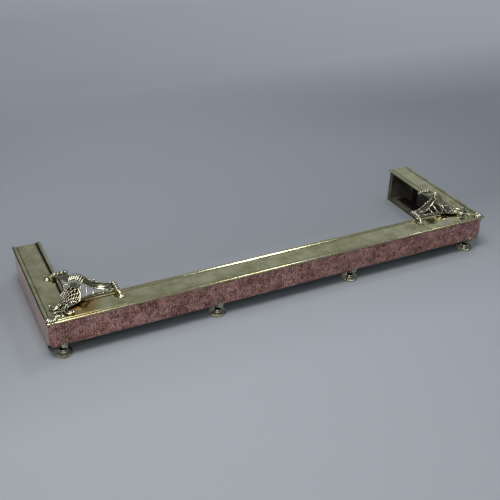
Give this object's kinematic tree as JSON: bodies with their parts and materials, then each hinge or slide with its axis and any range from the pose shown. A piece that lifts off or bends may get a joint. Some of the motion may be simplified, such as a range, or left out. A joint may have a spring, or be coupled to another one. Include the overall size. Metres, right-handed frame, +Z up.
{
  "type": "fire fender",
  "caption": "U-shaped hearth fender of rectangular kerb section, with a rolled brass top, hammered copper casing, openwork cast corner crests and cast feet under the front.",
  "frame": {"origin": "on the hearth, under the middle of the overall box", "axes": "X along the front rail, Y from the front towards the fire, Z up; the decorated front faces -Y"},
  "size_m": [1.3538, 0.4019, 0.1674],
  "materials": {
    "rolled_brass": "aged, half polished",
    "cast_brass": "cast, worn bright on the high spots",
    "planished_copper": "copper sheet with fine hammer marks and brown patina",
    "sooty_copper": "copper sheet, dull with soot on the inside",
    "iron": "black wrought bar, dull",
    "fixing_steel": "dull steel nuts and washers"
  },
  "bodies": {
    "root": {"bottom_angle_front": "iron", "bottom_bar_left": "iron", "bottom_bar_right": "iron", "corner_cap_left": "cast_brass", "corner_cap_right": "cast_brass", "corner_gusset_left": "iron", "corner_gusset_right": "iron", "crest_left": "cast_brass", "crest_nut_left_1": "fixing_steel", "crest_nut_left_2": "fixing_steel", "crest_nut_left_3": "fixing_steel", "crest_nut_right_1": "fixing_steel", "crest_nut_right_2": "fixing_steel", "crest_nut_right_3": "fixing_steel", "crest_right": "cast_brass", "foot_1": "cast_brass", "foot_2": "cast_brass", "foot_3": "cast_brass", "foot_4": "cast_brass", "foot_nut_1": "fixing_steel", "foot_nut_2": "fixing_steel", "foot_nut_3": "fixing_steel", "foot_nut_4": "fixing_steel", "foot_washer_1": "fixing_steel", "foot_washer_2": "fixing_steel", "foot_washer_3": "fixing_steel", "foot_washer_4": "fixing_steel", "front_panel": "planished_copper", "front_stay_1": "iron", "front_stay_2": "iron", "front_stay_3": "iron", "front_stay_4": "iron", "left_end_plate": "sooty_copper", "left_panel": "planished_copper", "left_stay_1": "iron", "left_stay_2": "iron", "right_end_plate": "sooty_copper", "right_panel": "planished_copper", "right_stay_1": "iron", "right_stay_2": "iron", "top_angle_front": "iron", "top_angle_left": "iron", "top_angle_right": "iron", "top_nut_front_1": "fixing_steel", "top_nut_front_2": "fixing_steel", "top_nut_front_3": "fixing_steel", "top_nut_front_4": "fixing_steel", "top_nut_left_1": "fixing_steel", "top_nut_left_2": "fixing_steel", "top_nut_left_3": "fixing_steel", "top_nut_right_1": "fixing_steel", "top_nut_right_2": "fixing_steel", "top_nut_right_3": "fixing_steel", "top_plate_front": "rolled_brass", "top_plate_left": "rolled_brass", "top_plate_right": "rolled_brass"}
  },
  "joints": []
}
